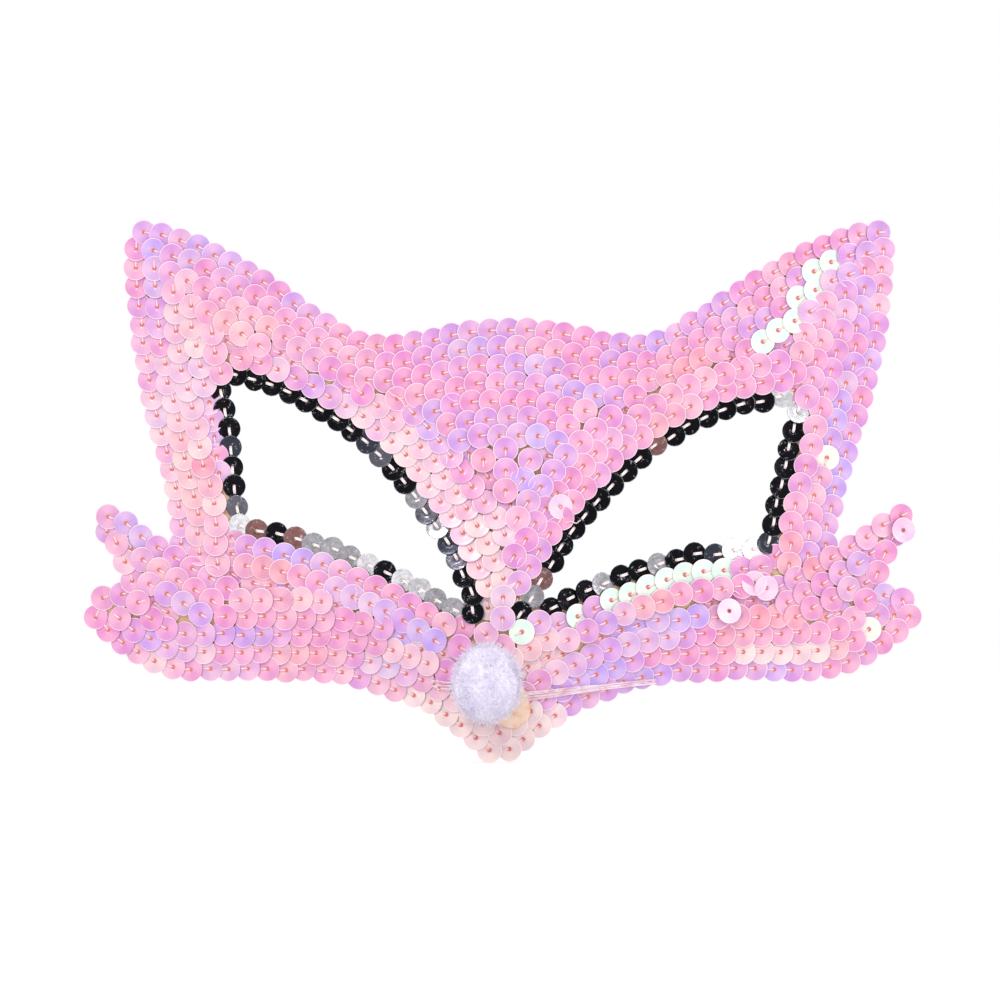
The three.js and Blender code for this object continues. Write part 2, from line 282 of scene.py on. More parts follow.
def thread_material(name, colour, dark, hole_shade):
    """Twisted thread, with painted shade where it comes up through a hole."""
    shader = Shader(name, roughness=0.7)
    wave = shader.node("TexWave", {"bands_direction": "DIAGONAL"}, Scale=900.0, Distortion=2.0,
                       Vector=shader.place())
    twist = wave.outputs["Fac"]
    depth = shader.split(shader.node("Attribute", {"attribute_name": "sequin_place"}).outputs["Vector"])["X"]
    # Painted shade: the thread is painted in its dark shade colour where it lies in a sequin's hole.
    shader.colour(shader.mix(depth, shader.mix(twist, dark, colour), hole_shade))
    shader.bump(twist, 0.3, 0.05 * MM)
    return shader.material


def woven_material(name, colour, dark, pitch):
    """Plain weave, with its threads across and up, pitch mm apart, and a few stains."""
    shader = Shader(name, roughness=0.85)
    x, _, z = shader.split(shader.place())
    across = shader.math("SINE", shader.math("MULTIPLY", x, math.pi / (pitch * MM)))
    upward = shader.math("SINE", shader.math("MULTIPLY", z, math.pi / (pitch * MM)))
    weave = shader.math("MULTIPLY_ADD", shader.math("MULTIPLY", across, upward), 0.5, 0.5)
    fuzz = shader.noise(2500.0, 3.0)
    shade = shader.math("MULTIPLY_ADD", fuzz, 0.5, shader.math("MULTIPLY", weave, 0.5))
    stain = shader.noise(60.0, 2.0)
    shader.colour(shader.mix(shade, dark, shader.mix(shader.step(stain, 0.4, 0.7), colour, dark)))
    shader.bump(shade, 0.5, 0.15 * MM)
    return shader.material


def felt_material():
    """Felt: fine crossed fibres over larger soft lumps."""
    shader = Shader("felt", roughness=0.95, sheen_weight=0.35, sheen_roughness=0.5)
    fibres = shader.noise(1100.0, 5.0, 2.5, 0.7)
    mat = shader.noise(240.0, 3.0, 1.0)
    shade = shader.math("MULTIPLY_ADD", fibres, 0.6, shader.math("MULTIPLY", mat, 0.4))
    shader.colour(shader.mix(shader.step(shade, 0.36, 0.62), linear(204, 192, 194), linear(230, 222, 222)))
    shader.bump(shade, 0.8, 0.3 * MM)
    return shader.material


def fluff_material():
    """White fluff with a cool tinge, paler in tufts."""
    shader = Shader("pompom_fluff", roughness=0.9, sheen_weight=0.4, sheen_roughness=0.4)
    tuft = shader.noise(420.0, 3.0)
    shader.colour(shader.mix(shader.step(tuft, 0.3, 0.7), linear(235, 230, 249), linear(246, 242, 254)))
    shader.bump(tuft, 0.2, 0.3 * MM)
    return shader.material


def clear_material(name, colour, deep, transmission, roughness=0.12):
    """Cloudy clear plastic or glue."""
    shader = Shader(name, roughness=roughness, transmission_weight=transmission, ior=1.45)
    clouds = shader.noise(350.0, 3.0, 0.6)
    shader.colour(shader.mix(shader.step(clouds, 0.4, 0.68), colour, deep))
    shader.bump(clouds, 0.3, 0.3 * MM)
    return shader.material


def ribbon_material():
    """Grosgrain: ribs one above the other, with a little fuzz."""
    shader = Shader("ribbon", roughness=0.55, sheen_weight=0.2, sheen_roughness=0.4)
    height = shader.split(shader.place())["Z"]
    ribs = shader.math("SINE", shader.math("MULTIPLY", height, math.tau / (0.55 * MM)))
    fuzz = shader.noise(1800.0, 3.0)
    shade = shader.math("MULTIPLY_ADD", ribs, 0.3, shader.math("MULTIPLY_ADD", fuzz, 0.5, 0.25))
    shader.colour(shader.mix(shade, linear(222, 150, 186), linear(248, 202, 222)))
    shader.bump(shade, 0.6, 0.12 * MM)
    return shader.material


PEARL = pearl_material()
MIRROR = mirror_material()
# The last colour of each thread is the painted shade for where it lies in a hole.
PINK_THREAD = thread_material("pink_thread", linear(252, 220, 224), linear(238, 184, 192),
                              linear(204, 116, 120))
WHITE_THREAD = thread_material("white_thread", linear(255, 248, 246), linear(226, 208, 208),
                               linear(214, 190, 188))
CLOTH = woven_material("base_cloth", linear(248, 220, 190), linear(234, 192, 156), 0.45)
FELT = felt_material()
FLUFF = fluff_material()
CLEAR = clear_material("clear_whisker", linear(255, 240, 244), linear(242, 202, 216), 0.5)
GLUE = clear_material("glue", linear(255, 226, 204), linear(250, 198, 160), 0.25, 0.22)
RIBBON = ribbon_material()


# ---- Mesh helpers --------------------------------------------------------------------------------
class Solid:
    """Points, faces and per-point facts gathered for one piece. Points are in metres."""

    def __init__(self):
        self.points, self.faces, self.slots = [], [], []
        self.places, self.tints = [], []
        self.count = 0

    def add(self, points, faces, slot=0, places=None, tint=(1, 1, 1)):
        self.points.append(np.asarray(points, float))
        self.faces.extend([tuple(i + self.count for i in face) for face in faces])
        self.slots.extend([slot] * len(faces))
        size = len(points)
        self.places.append(np.zeros((size, 3)) if places is None else places)
        self.tints.append(np.tile((*tint, 1.0), (size, 1)))
        self.count += size

    def build(self, name, materials):
        mesh = bpy.data.meshes.new(name)
        mesh.from_pydata(np.concatenate(self.points).tolist(), [], self.faces)
        for material in materials:
            mesh.materials.append(material)
        mesh.polygons.foreach_set("material_index", self.slots)
        mesh.polygons.foreach_set("use_smooth", [True] * len(self.faces))
        place = mesh.attributes.new("sequin_place", "FLOAT_VECTOR", "POINT")
        place.data.foreach_set("vector", np.concatenate(self.places).ravel())
        tint = mesh.attributes.new("sequin_tint", "FLOAT_COLOR", "POINT")
        tint.data.foreach_set("color", np.concatenate(self.tints).ravel())
        mesh.update()
        made = bpy.data.objects.new(name, mesh)
        scene.collection.objects.link(made)
        return made


def unit(vector):
    return vector / np.linalg.norm(vector)


def tube_faces(rings, sides):
    """Faces of a tube of rings, with both ends closed."""
    faces = []
    for ring in range(rings - 1):
        for side in range(sides):
            a, b = ring * sides + side, ring * sides + (side + 1) % sides
            faces.append((a, b, b + sides, a + sides))
    faces.append(tuple(reversed(range(sides))))
    faces.append(tuple(range((rings - 1) * sides, rings * sides)))
    return faces


def sweep(line, widths, thicknesses, up, sides=8):
    """Points and faces of a tube along a line, with an oval section. up is the section's short way."""
    line = np.asarray(line, float)
    steps = np.gradient(line, axis=0)
    points = []
    for centre, step, width, thickness in zip(line, steps, widths, thicknesses):
        along = unit(step)
        across = unit(np.cross(along, up))
        out = np.cross(across, along)
        for side in range(sides):
            angle = math.tau * side / sides
            oval = across * width / 2 * math.cos(angle) + out * thickness / 2 * math.sin(angle)
            points.append(centre + oval)
    return points, tube_faces(len(line), sides)


def resampled(line, count, values=None):
    """This many evenly spaced places along a line, or the values there of something given at its points."""
    along = np.concatenate([[0], np.cumsum(np.linalg.norm(np.diff(line, axis=0), axis=1))])
    wanted = np.linspace(0, along[-1], count)
    given = line if values is None else values
    return np.stack([np.interp(wanted, along, given[:, k]) for k in range(3)], axis=1)


def corners_of(node):
    """A CAD node's own points, each once, in metres."""
    mesh = frame["nodes"][node].data
    points = np.empty(len(mesh.vertices) * 3)
    mesh.vertices.foreach_get("co", points)
    return np.unique(np.round(points.reshape(-1, 3), 6), axis=0)


def pair_up(points):
    """Pairs each point with its nearest neighbour. Returns each pair's middle and difference."""
    apart = np.linalg.norm(points[:, None] - points[None], axis=2)
    np.fill_diagonal(apart, np.inf)
    nearest, taken, pairs = apart.argmin(axis=1), set(), []
    for i, j in enumerate(nearest):
        if i not in taken and j not in taken:
            taken |= {i, j}
            pairs.append((i, j))
    first, second = np.array(pairs).T
    return (points[first] + points[second]) / 2, points[first] - points[second]


def in_chain(points):
    """The order in which to visit the points along the string that they lie on."""
    apart = np.linalg.norm(points[:, None] - points[None], axis=2)
    best, best_length = None, np.inf
    for start in range(len(points)):
        order, left, length = [start], set(range(len(points))) - {start}, 0.0
        while left:
            following = min(left, key=lambda i: apart[order[-1], i])
            length += apart[order[-1], following]
            order.append(following)
            left.discard(following)
        if length < best_length:
            best, best_length = order, length
    return best


def stations_of(node, travel):
    """Where a band's sections are: centres, directions out of the mask and along the band, in order.
    travel is which way, across and up, the band runs from its first section to its last."""
    middles, thickness = pair_up(corners_of(node))
    outs = np.array([d * -np.sign(d[1]) for d in thickness])
    centres, _ = pair_up(middles)
    nearest = np.linalg.norm(middles[None] - centres[:, None], axis=2).argmin(axis=1)
    order = in_chain(centres)
    run = centres[order[-1]] - centres[order[0]]
    if run[0] * travel[0] + run[2] * travel[1] < 0:
        order.reverse()
    centres, outs = centres[order], np.array([unit(outs[nearest[i]]) for i in order])
    return centres, outs, np.array([unit(step) for step in np.gradient(centres, axis=0)])


def copy_of(node, name):
    """A copy of a CAD node and its mesh, free to be worked on."""
    piece = frame["nodes"][node].copy()
    piece.data = piece.data.copy()
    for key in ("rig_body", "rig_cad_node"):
        del piece[key]
    piece.parent = None
    piece.name = name
    scene.collection.objects.link(piece)
    return piece


def apply_modifiers(piece, material):
    """Makes what the modifiers give the piece's own mesh, in one material."""
    mesh = bpy.data.meshes.new_from_object(piece.evaluated_get(bpy.context.evaluated_depsgraph_get()))
    piece.modifiers.clear()
    piece.data = mesh
    mesh.materials.clear()
    mesh.materials.append(material)


def finish_piece(piece, slot, *nodes):
    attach(piece, "root")
    if nodes:
        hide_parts(*nodes)
    return piece


# ---- Sequins -------------------------------------------------------------------------------------
RADIUS = 3.1
SIDES = 26
SEQUIN_ANGLES = np.arange(SIDES) * math.tau / SIDES
# The section of one sequin: distance from its middle and height, from the hole over the top, round the
# rim and back below.
SECTION = [(0.42, -0.02), (0.5, 0.05), (1.4, 0.06), (2.2, 0.06), (2.88, 0.06), (3.01, 0.075), (3.1, 0.02),
           (3.02, -0.06), (0.5, -0.06)]
ALONG_TILT = math.tan(math.radians(4.5))  # each sequin lies on the one before it
ACROSS_TILT = math.tan(math.radians(3.2))  # and on the string beside it


def sequin_faces():
    """Faces of a closed ring of rings, so that the section goes all the way round."""
    faces = []
    for ring in range(len(SECTION)):
        low, high = ring * SIDES, (ring + 1) % len(SECTION) * SIDES
        for side in range(SIDES):
            following = (side + 1) % SIDES
            faces.append((low + side, low + following, high + following, high + side))
    return faces


SEQUIN_FACES = sequin_faces()


def add_sequin(solid, centre, out, along, tint, scale=1.0, cup=0.05, dent=0.0):
    """One sequin. Its hole is at centre, it faces out. cup raises its rim, dent bends it across."""
    across = np.cross(out, along)
    points, places = [], []
    own = rng.random()
    bend = rng.uniform(0, math.tau)
    for radius, height in SECTION:
        for angle in SEQUIN_ANGLES:
            x, y = radius * scale * math.cos(angle), radius * scale * math.sin(angle)
            lift = cup * (radius / RADIUS) ** 2
            lift += dent * (radius / RADIUS) ** 2 * math.cos(2 * (angle - bend))
            offset = along * x + across * y
            points.append(centre + (offset + out * (height + lift)) * MM)
            places.append((offset[0] / RADIUS / scale, offset[2] / RADIUS / scale, own))
    solid.add(points, SEQUIN_FACES, 0, np.array(places), tint)


# A stitch, from inside the hole to under the next sequin: distance along from the hole's middle, height,
# share of its width, and 1 where it is in the hole, where the thread is painted in shade.
STITCH_PATH = [(-0.44, -0.14, 1.5, 1.0), (-0.25, -0.05, 2.1, 1.0), (0.08, -0.01, 2.1, 1.0),
               (0.34, 0.14, 1.2, 0.1), (0.8, 0.2, 1.0, 0.0), (1.4, 0.18, 0.95, 0.0), (1.95, 0.03, 0.9, 0.0)]
STITCH_SIDES = 7
STITCH_THICKNESS = 0.225


def add_stitch(solid, centre, out, along, width, shift=0.0):
    """The thread that comes up through a sequin's hole and runs to under the next sequin. Outside the hole
    it lies to one side by shift."""
    across = np.cross(out, along)
    line, widths, depths = [], [], []
    for x, z, share, depth in STITCH_PATH:
        line.append(centre + (along * x + out * z + across * shift * (1 - depth)) * MM)
        widths.append(width * share * MM)
        depths.append((depth, 0, 0))
    thicknesses = np.full(len(line), STITCH_THICKNESS * MM)
    points, faces = sweep(line, widths, thicknesses, out, STITCH_SIDES)
    solid.add(points, faces, 1, np.repeat(depths, STITCH_SIDES, axis=0))


# Colours of pearl sequins, from the warmest to the coolest.
TONES = np.array([linear(*c) for c in [
    (230, 150, 163), (228, 160, 182), (226, 148, 184), (223, 138, 184), (215, 146, 197), (205, 150, 205),
    (196, 153, 212), (188, 160, 221)]])
CREAM = np.array(linear(238, 218, 203))
MINT = np.array(linear(222, 252, 220))
IVORY = np.array(linear(244, 246, 214))
MIDDLE_TONE = 3.1  # the usual place along TONES
TONE_DRIFT = 1.25  # how far a string drifts from it

# Areas where the sequins differ: middle across and up in mm, half-width, half-height, shift along TONES
# and how creamy they are.
AREAS = [
    (-80, 22, 7, 30, -1.2, 0.45),  # left ear and side, inner strings
    (-89, 24, 5, 44, 1.9, 0.1),  # left ear and side, outer string
    (-80, 63, 9, 5, 2.0, 0.0),  # left ear, top edge
    (-65, 55, 8, 5, 1.4, 0.0),
    (-60, 36, 12, 10, -0.6, 0.25),  # over the left eye's outer corner
    (-44, 47, 12, 5, 0.6, 0.0),
    (-30, 39, 26, 5, 1.3, 0.0),  # top edge, left
    (-8, 42, 12, 3, 0.9, 0.0),  # top edge, middle
    (12, 40, 16, 5, -0.7, 0.0),
    (-43, 15, 24, 9, -0.5, 0.6),  # beside the left eye
    (-22, -1, 11, 17, -0.4, 0.7),  # left of the bridge
    (-5, -16, 6, 16, -0.8, 0.75),  # down the bridge
    (8, 10, 10, 12, 2.2, 0.0),  # right of the bridge
    (-12, 17, 14, 6, 1.2, 0.0),  # across the brow, over the bridge
    (47, 33, 18, 5, -1.6, 0.0),  # over the right eye
    (60, 50, 26, 9, 1.9, 0.0),  # top edge, right
    (80, 42, 8, 12, -1.0, 0.1),  # right ear
    (92, 44, 4, 26, 2.2, 0.2),  # right ear, outer string
    (83, 18, 4, 20, 2.2, 0.0),  # right side
    (75, 8, 4, 20, -0.8, 0.1),
    (9.5, 13.6, 3.5, 2.6, 4.0, 0.0),  # two cool ones over the bridge
    (-23, -33, 8, 2.8, 2.8, 0.0),  # left cheek, by the nose
    (-23, -38.5, 8, 2.4, -0.6, 0.8),
    (-38, -25, 14, 3, 1.2, 0.3),  # left cheek, cool string
    (-66, -21, 20, 4, -0.6, 0.0),
    (-80, -40, 16, 5, -1.3, 0.3),
    (-75, 0, 7, 14, -0.8, 0.22),  # left side
    (-96, -12, 9, 16, 1.0, 0.1),  # left spikes
    (36, -30, 15, 3.5, 2.6, 0.0),  # right cheek, cool string
    (68, -30, 12, 3, -2.2, 0.0),  # right cheek, warm string
    (68, -36.5, 12, 2.5, -1.2, 0.8),  # right cheek, creamy string
    (46, -42, 30, 4, 2.0, 0.0),  # bottom edge, right
    (8, -37, 8, 6, -1.0, 0.7),
    (90, -16, 11, 16, 1.5, 0.05),  # right spikes
    (0, -58, 18, 8, -0.9, 1.1),  # chin
    (-28, -38, 22, 5, 1.4, 0.1),  # bottom edge, left
    (-20, -52, 11, 6, -0.4, 1.0),  # chin, left
    (-34, -43, 10, 4, 1.0, 0.4),
    (-52, -38, 12, 4, -0.8, 0.1),
]
# Places where the sequins are painted with a mint or ivory flash, a painted reflection: middle and reach in
# mm.
MINT_PLACES = [(75.7, 55.4, 2.3), (80.1, 56.6, 2.3), (76.9, 50.8, 2.3), (71.9, 48, 2.3), (72.5, 43.6, 2.3),
               (68.6, 41.6, 2.3), (64.4, 38, 2.3), (68.6, -19.4, 2.6), (16.4, -28.9, 2.2),
               (3.4, -33.8, 2.2), (2.2, -24.3, 2.2)]
MINT_STRING = "right_lower_eye_string_1"
MINT_STRETCH = (24.0, 53.5)  # the part of that string, across in mm, that flashes mint
IVORY_PLACES = [(90.6, -33, 2.6), (78.4, 9.3, 2.3)]


def run_of(count):
    """A number for each sequin of a string that drifts along it, as the batches on a thread do."""
    steps = np.arange(count)
    drift = np.zeros(count)
    for length in (23, 11, 6):
        drift += math.sqrt(length) * np.sin(math.tau * (steps / length + rng.random()))
    return drift / 4.2


def is_in(places, spot):
    return any(math.hypot(spot[0] - x, spot[2] - z) < reach for x, z, reach in places)


def pearl_tints(node, centres):
    """A colour for each sequin: its area's, with a drift along the string and a scatter of its own."""
    drift = run_of(len(centres))
    tints = []
    for place, slow in zip(centres / MM, drift):
        shift, cream = 0.0, 0.0
        for x, z, wide, high, by, creamy in AREAS:
            inside = max(0.0, 1.25 - math.hypot((place[0] - x) / wide, (place[2] - z) / high))
            weight = min(1.0, inside * 2)
            shift += by * weight
            cream = max(cream, creamy * weight)
        tone = MIDDLE_TONE + TONE_DRIFT * slow + shift + rng.normal(0, 0.55)
        tone = np.clip(tone, 0, len(TONES) - 1.001)
        low = int(tone)
        tint = TONES[low] + (TONES[low + 1] - TONES[low]) * (tone - low)
        creamy = np.clip(cream + rng.normal(0.06, 0.13), 0, 1)
        tint = tint + (CREAM - tint) * creamy
        # Painted reflection: a mint or ivory flash in the places listed.
        if is_in(MINT_PLACES, place):
            tint = MINT
        if is_in(IVORY_PLACES, place):
            tint = IVORY
        if node == MINT_STRING and MINT_STRETCH[0] < place[0] < MINT_STRETCH[1]:
            tint = MINT
        tints.append(np.clip(tint * rng.uniform(0.95, 1.03), 0, 1))
    return tints


BLACK = linear(24, 24, 28)
GREY = linear(152, 150, 156)
BROWN = linear(128, 92, 90)
SILVER = linear(246, 247, 250)
PALE_GREY = linear(204, 203, 208)
DARK_GREY = linear(96, 94, 104)
SLATE = linear(56, 58, 68)
# Places in mm of the mirror sequins that aren't black, with their colours.
MIRROR_SPOTS = [
    (-33.8, 13.9, SLATE), (-30.4, 10.9, DARK_GREY), (-21.8, 0.5, GREY), (-19.1, -3.1, DARK_GREY),
    (-16.4, -6.8, GREY), (-13.9, -10.6, SLATE), (-11.8, -14.5, DARK_GREY),
    (-67.1, 12.9, SLATE), (-66, -1.4, DARK_GREY), (-65.1, -6.1, PALE_GREY), (-60.8, -7.5, BROWN),
    (-51.5, -9.4, BROWN), (-47, -10.8, GREY), (-42.4, -12.2, GREY), (-38, -13.9, GREY),
    (-33.6, -15.7, PALE_GREY), (-25.1, -19.7, PALE_GREY), (-20.9, -21.9, PALE_GREY),
    (-16.8, -24.2, GREY), (-12.7, -26.6, GREY), (6.7, -23.5, GREY), (9.2, -19.3, BROWN), (37.2, 13.3, BROWN),
    (68.3, 25.2, PALE_GREY), (71.6, 21.7, PALE_GREY), (24.2, -20.6, GREY), (37.5, -15.9, GREY),
    (51.3, -13, SLATE), (56, -12.6, SILVER), (60.7, -12.3, SILVER), (64.8, -10.6, SLATE),
]
MIRROR_REACH = 2.0


def mirror_tints(centres):
    """A colour for each sequin: that of the spot that it lies on, or black."""
    tints = []
    for place in centres / MM:
        apart, colour = min((math.hypot(place[0] - x, place[2] - z), colour) for x, z, colour in MIRROR_SPOTS)
        tint = np.array(colour if apart < MIRROR_REACH else BLACK)
        tints.append(tint * rng.uniform(0.9, 1.08))
    return tints


# How each family of strings is sewn: which way it runs, which side of it goes under its neighbour (1 is
# to the right of the way it runs, -1 to the left) and how high it lies in mm.
FAMILIES = [
    ("brow_string", (1, 0), 1, 0.0),
    ("left_side_string", (0, 1), 1, 0.0), ("right_side_string", (0, -1), 1, 0.0),
    ("left_ear_string", (1, 0), 1, 0.45), ("right_ear_string", (1, 0), 1, 0.45),
    ("chin_string", (-1, 0), 1, 0.0),
    ("left_chin_string", (-1, 0), 1, 0.0), ("right_chin_string", (-1, 0), 1, 0.0),
    ("left_cheek_string", (1, 0), 1, 0.25), ("right_cheek_string", (1, 0), 1, 0.25),
    ("left_spike_string", (0, 1), 1, 0.1), ("right_spike_string", (0, -1), 1, 0.1),
    ("left_upper_eye_string", (-1, 0.5), 1, 0.15), ("right_upper_eye_string", (-1, -0.5), 0, 0.5),
    ("left_lower_eye_string", (1, 0), 1, 0.2), ("right_lower_eye_string_1", (1, 0), 1, 0.2),
    ("right_lower_eye_string_2", (-1, 0), 0, 0.75),
    ("upper_bridge_string", (0, -1), 0, 0.7), ("lower_bridge_string", (0, -1), 0, 0.7),
    ("left_eye_upper_trim", (-1, 0.8), 1, -0.15), ("right_eye_upper_trim", (-1, -0.8), 1, -0.15),
    ("left_eye_lower_trim", (1, -1), 1, -0.15), ("right_eye_lower_trim", (1, 1), 1, -0.15),
]
ROW_LIFT = 0.1  # each string further from the edge lies this much higher
WANDER = (0.12, 0.2)  # how far a sequin strays along its string and across it

# How each kind of sequin is sewn: its finish, its materials, how far it covers the cloth, its least and
# greatest size against a full one, how unevenly it lies, how bent it is, and its stitches' width and places.
Sewing = namedtuple("Sewing", "slot materials reach sizes spread dent stitch_width stitch_sides")
PEARL_SEWING = Sewing("pearl_sequin", [PEARL, PINK_THREAD], RADIUS, (0.98, 1.03), 0.014, 0.02, 0.4, (0.0,))
MIRROR_SEWING = Sewing("mirror_sequin", [MIRROR, WHITE_THREAD], 2.8, (0.9, 0.95), 0.02, 0.06, 0.36,
                       (-0.17, 0.17))

laid = []  # every sequin: its place in mm, the way it faces, the way its string runs and its reach


def family_of(node):
    found = [f for f in FAMILIES if node.startswith(f[0])]
    return max(found, key=lambda f: len(f[0]))


def sew_string(node):
    """One string of sequins, each on a section of its CAD band, with the thread that holds them."""
    sewing = MIRROR_SEWING if node.endswith("_trim") else PEARL_SEWING
    _, travel, fall, lift = family_of(node)
    row = int(node.rsplit("_", 1)[1]) - 1 if node[-1].isdigit() else 0
    centres, outs, alongs = stations_of(node, travel)
    tints = mirror_tints(centres) if sewing is MIRROR_SEWING else pearl_tints(node, centres)
    string = Solid()
    for i, (centre, out, along, tint) in enumerate(zip(centres, outs, alongs, tints)):
        along = unit(along - out * (along @ out))
        across = np.cross(out, along)
        facing = unit(out + along * (ALONG_TILT + rng.normal(0, sewing.spread))
                      - across * (fall * ACROSS_TILT + rng.normal(0, sewing.spread)))
        direction = unit(along - facing * (along @ facing))
        wander = (direction * rng.normal(0, WANDER[0]) + across * rng.normal(0, WANDER[1])) * MM
        middle = centre + wander + out * (lift + row * ROW_LIFT) * MM
        laid.append((middle / MM, out, along, sewing.reach))
        add_sequin(string, middle, facing, direction, tint, rng.uniform(*sewing.sizes),
                   cup=rng.uniform(0.0, 0.1), dent=rng.normal(0, sewing.dent))
        onward = unit(centres[i + 1] - centre) if i < len(centres) - 1 else direction
        onward = unit(onward - facing * (onward @ facing))
        for side in sewing.stitch_sides:
            add_stitch(string, middle, facing, onward, sewing.stitch_width, side)
    finish_piece(string.build(node + "_sequins", sewing.materials), sewing.slot, node)


for node in sorted(frame["nodes"]):
    if "_string" in node or node.endswith("_trim"):
        sew_string(node)


# ---- Sequins tucked in where the strings leave the base cloth bare -------------------------------
BARE_STEP = 0.6
FILL_GAP = 0.45  # the widest bare spot that is left, from its middle to the nearest sequin's rim in mm
WIDE_GAP = 1.6  # a filler sequin in a gap as wide as this lies on its neighbours, not under them
LOW_FILLER = 0.5
HIGH_FILLER = 1.3

cloth_tree = BVHTree.FromObject(frame["nodes"]["base_shell"], bpy.context.evaluated_depsgraph_get())


def front_places():
    """Places all over the front of the base, in mm, with the way they face."""
    low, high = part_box("base_shell")
    found = []
    for x in np.arange(low.x, high.x, BARE_STEP * MM):
        for z in np.arange(low.z, high.z, BARE_STEP * MM):
            hit, normal, _, _ = cloth_tree.ray_cast((x, low.y - 0.01, z), (0, 1, 0))
            if hit is not None and normal.y < -0.6:
                found.append((np.array(hit) / MM, np.array(normal)))
    return found


def fill_bare_places():
    """Puts a sequin on the barest place, until no bare place is wide."""
    spots = front_places()
    points = np.array([point for point, _ in spots])
    free = np.full(len(points), np.inf)
    for middle, _, _, radius in laid:
        free = np.minimum(free, np.hypot(*(points - middle)[:, [0, 2]].T) - radius)
    filler = Solid()
    while free.max() > FILL_GAP:
        chosen = int(free.argmax())
        point, out = spots[chosen]
        nearest = min(laid, key=lambda one: math.hypot(one[0][0] - point[0], one[0][2] - point[2]))
        along = unit(nearest[2] - out * (nearest[2] @ out))
        middle = (point + out * (LOW_FILLER if free[chosen] < WIDE_GAP else HIGH_FILLER)) * MM
        facing = unit(out + rng.normal(0, 0.02, 3))
        direction = unit(along - facing * (along @ facing))
        tint = pearl_tints("", middle[None])[0]
        add_sequin(filler, middle, facing, direction, tint, rng.uniform(*PEARL_SEWING.sizes))
        add_stitch(filler, middle, facing, direction, PEARL_SEWING.stitch_width)
        free = np.minimum(free, np.hypot(*(points - point)[:, [0, 2]].T) - RADIUS)
        laid.append((middle / MM, out, along, RADIUS))
    finish_piece(filler.build("filler_sequins", PEARL_SEWING.materials), PEARL_SEWING.slot)


fill_bare_places()


# ---- Base cloth and felt lining ------------------------------------------------------------------
VOXEL = 0.6
RIPPLE_SIZE = 6


def softened(node, name, material, ripple):
    """A copy of a CAD sheet with its cut edges rounded and its faces uneven by about ripple mm."""
    piece = copy_of(node, name)
    remesh = piece.modifiers.new("remesh", "REMESH")
    remesh.mode, remesh.voxel_size, remesh.use_smooth_shade = "VOXEL", VOXEL * MM, True
    rounding = piece.modifiers.new("rounding", "SMOOTH")
    rounding.factor, rounding.iterations = 0.5, 3
    clouds = bpy.data.textures.new(name + "_ripple", "CLOUDS")
    clouds.noise_scale = RIPPLE_SIZE * MM
    uneven = piece.modifiers.new("uneven", "DISPLACE")
    uneven.texture, uneven.texture_coords, uneven.strength = clouds, "LOCAL", ripple * MM
    apply_modifiers(piece, material)
    return piece


base = finish_piece(softened("base_shell", "base_cloth", CLOTH, 0.12), "base_cloth", "base_shell")
lining = finish_piece(softened("felt_lining", "felt_sheet", FELT, 0.2), "felt", "felt_lining")


def sheet_area(node):
    """Half of a CAD sheet's surface, which is its flat area but for its thin edges."""
    made = bmesh.new()
    made.from_mesh(frame["nodes"][node].data)
    area = sum(face.calc_area() for face in made.faces) / 2
    made.free()
    return area


sheet_area("base_shell")
sheet_area("felt_lining")


# ---- Pompom --------------------------------------------------------------------------------------
def on_sphere(count):
    """Directions spread evenly over a sphere."""
    steps = np.arange(count) + 0.5
    height = 1 - 2 * steps / count
    turn = steps * math.pi * (3 - math.sqrt(5))
    wide = np.sqrt(1 - height**2)
    return np.stack([wide * np.cos(turn), wide * np.sin(turn), height], axis=1)


POMPOM_LEAN = (1.2, 1.5, -0.2)  # how far the ball hangs from the middle of its place, in mm
CORE_SHARE = 0.88  # the lumpy middle's radius, as a share of the ball's
ROOT_SHARE = 0.84  # and where the fibres start
FIBRES = 9500
FIBRE_LENGTH = (1.0, 2.3)
FIBRE_THICKNESS = (0.06, 0.09)
FIBRE_TAPER = (1.0, 0.85, 0.3)  # a fibre's share of its thickness at its root, middle and tip


def pompom():
    """A dense lumpy ball with short curled fibres all over."""
    low, high = (np.array(corner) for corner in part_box("nose_pompom"))
    centre, half = (low + high) / 2 + np.array(POMPOM_LEAN) * MM, (high - low) / 2
    made = Solid()
    ball = bmesh.new()
    bmesh.ops.create_icosphere(ball, subdivisions=5, radius=1)
    lumps = rng.normal(0, 1, (8, 3))
    core = []
    for vertex in ball.verts:
        direction = np.array(vertex.co)
        bump = 0.008 * np.sin(3 * lumps @ direction).sum()
        core.append(centre + half * direction * (CORE_SHARE + bump))
    faces = [tuple(v.index for v in face.verts) for face in ball.faces]
    ball.free()
    made.add(core, faces)
    for direction in on_sphere(FIBRES):
        direction = unit(direction + rng.normal(0, 0.05, 3))
        root = centre + half * direction * ROOT_SHARE
        lean = unit(direction / half + rng.normal(0, 0.45, 3) / half.mean())
        curl = rng.normal(0, 0.35, 3)
        length = rng.uniform(*FIBRE_LENGTH) * MM
        line = [root + lean * length * t + curl * length * t * t * 0.6 for t in (0, 0.55, 1)]
        thick = rng.uniform(*FIBRE_THICKNESS) * MM
        taper = [thick * share for share in FIBRE_TAPER]
        points, tube = sweep(line, taper, taper, np.array([0.3, 0.2, 0.93]), 3)
        made.add(points, tube)
    finish_piece(made.build("pompom_ball", [FLUFF]), "pompom_fluff", "nose_pompom")


pompom()


# ---- Lying on the sequins ------------------------------------------------------------------------
STACK = 1.5  # from the front of the base cloth to the tops of the sequins, in mm


